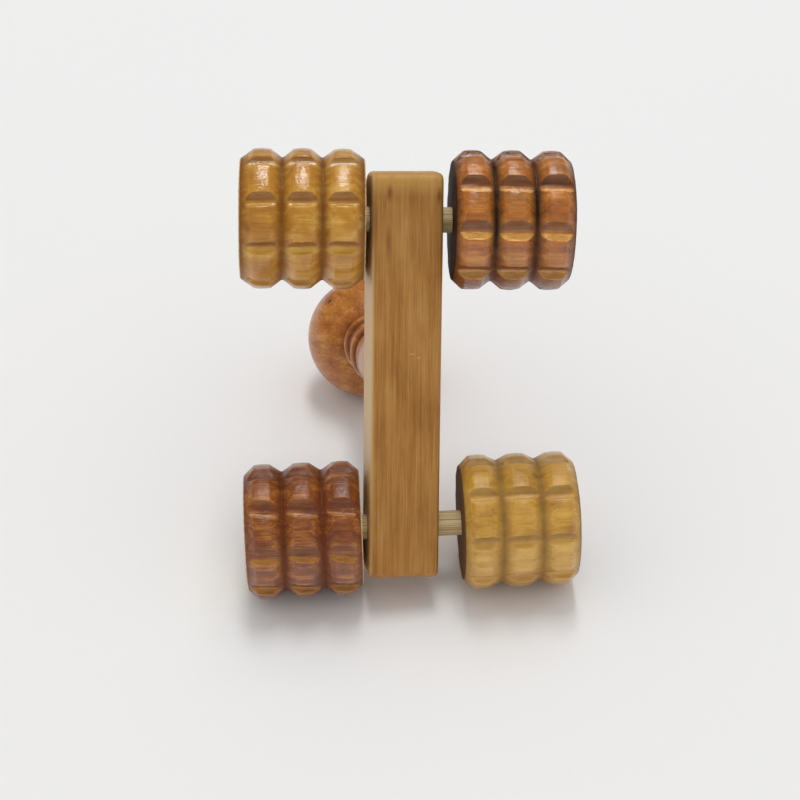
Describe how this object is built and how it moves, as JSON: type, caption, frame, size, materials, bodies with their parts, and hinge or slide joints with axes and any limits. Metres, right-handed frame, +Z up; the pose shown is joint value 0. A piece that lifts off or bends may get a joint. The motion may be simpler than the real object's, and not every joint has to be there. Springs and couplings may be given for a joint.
{
  "type": "foot massage roller",
  "caption": "Hand-held wooden massage tool: an upright bar with ribbed, notched rollers on loose cross axles and a turned handle with a round knob.",
  "frame": {"origin": "on the floor, under the middle of the resting tool's footprint; it rests on its two lower rollers and the handle's knob", "axes": "+Z up; +X to the right along the level lower axle, seen from the roller side; +Y away from the rollers, the way the handle and knob lie"},
  "size_m": [0.1064, 0.151, 0.1321],
  "materials": {
    "bar_wood": "bare wood rubbed smooth, satin, straight fine grain along the bar",
    "handle_wood": "turned orange-brown wood under a glossy varnish",
    "axle_bamboo": "plain pale bamboo dowel, fibres along its length, no varnish",
    "honey_varnish": "honey-coloured wood under a glossy varnish, redder in the grooves",
    "chestnut_varnish": "dark reddish brown wood under a glossy varnish, nearly black in the grooves",
    "amber_varnish": "orange-brown wood under a glossy varnish, fine grain lines",
    "straw_varnish": "yellow straw-coloured wood under a varnish, tool marks showing"
  },
  "bodies": {
    "bar_and_handle": {"bar": "bar_wood", "handle": "handle_wood"},
    "upper_axle": {"upper_axle": "axle_bamboo"},
    "upper_rollers": {"upper_left_roller": "honey_varnish", "upper_right_roller": "chestnut_varnish"},
    "lower_axle": {"lower_axle": "axle_bamboo"},
    "lower_rollers": {"lower_left_roller": "amber_varnish", "lower_right_roller": "straw_varnish"}
  },
  "joints": [
    {"name": "upper_axle_slide", "type": "slide", "parent": "bar_and_handle", "child": "upper_axle", "axis": [0.9989, -0.0213, -0.042], "range_m": [-0.0029, 0.0002]},
    {"name": "upper_rollers_spin", "type": "hinge", "parent": "upper_axle", "child": "upper_rollers", "pos_m": [0.00069, -0.01002, 0.10838], "axis": [0.9989, -0.0213, -0.042], "continuous": true},
    {"name": "lower_axle_slide", "type": "slide", "parent": "bar_and_handle", "child": "lower_axle", "axis": [1, 0, 0], "range_m": [-0.0065, 0.0001]},
    {"name": "lower_rollers_spin", "type": "hinge", "parent": "lower_axle", "child": "lower_rollers", "pos_m": [-0.0039, -0.05402, 0.0215], "axis": [1, 0, 0], "continuous": true}
  ]
}
